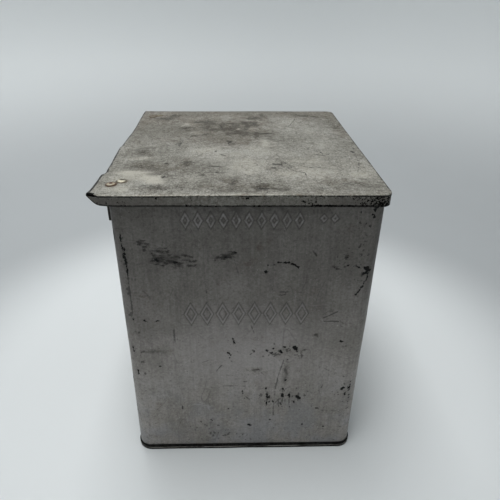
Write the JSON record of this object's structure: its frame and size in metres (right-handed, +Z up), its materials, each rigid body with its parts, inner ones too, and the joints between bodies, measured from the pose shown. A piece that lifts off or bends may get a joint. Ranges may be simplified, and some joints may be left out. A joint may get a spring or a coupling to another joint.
{
  "type": "insulated milk delivery box",
  "caption": "Weathered sheet-steel porch box with an insulated double wall and a flat skirted lid that hinges up along one long side.",
  "frame": {"origin": "on the ground under the middle of the closed lid, which is the bottom centre of the whole box", "axes": "+X from the hinge side to the free side of the lid, +Y from the front with the pressed lozenges to the back, +Z up"},
  "size_m": [0.272, 0.317, 0.334],
  "materials": {
    "painted_shell": "satin",
    "painted_lid": "satin",
    "liner_steel": "satin",
    "hinge_steel": "satin",
    "rivet_steel": "satin",
    "insulating_board": "matte"
  },
  "bodies": {
    "body": {"outer_shell": "painted_shell", "bottom_pan": "painted_shell", "liner_walls": "liner_steel", "liner_floor": "liner_steel", "insulation_front": "insulating_board", "insulation_back": "insulating_board", "insulation_left": "insulating_board", "insulation_right": "insulating_board", "insulation_bottom": "insulating_board", "front_hinge_body_leaf": "hinge_steel", "front_hinge_backing_plate": "hinge_steel", "front_hinge_pin": "hinge_steel", "front_hinge_body_rivets": "rivet_steel", "rear_hinge_body_leaf": "hinge_steel", "rear_hinge_backing_plate": "hinge_steel", "rear_hinge_pin": "hinge_steel", "rear_hinge_body_rivets": "rivet_steel"},
    "lid": {"lid_cover": "painted_lid", "lid_pan": "liner_steel", "lid_insulation": "insulating_board", "front_hinge_lid_leaf": "hinge_steel", "front_hinge_lid_rivets": "rivet_steel", "rear_hinge_lid_leaf": "hinge_steel", "rear_hinge_lid_rivets": "rivet_steel"}
  },
  "joints": [
    {"name": "lid_hinge", "type": "hinge", "parent": "body", "child": "lid", "pos_m": [-0.12585, 0, 0.32845], "axis": [0, -1, 0], "range_deg": [0, 115]}
  ]
}
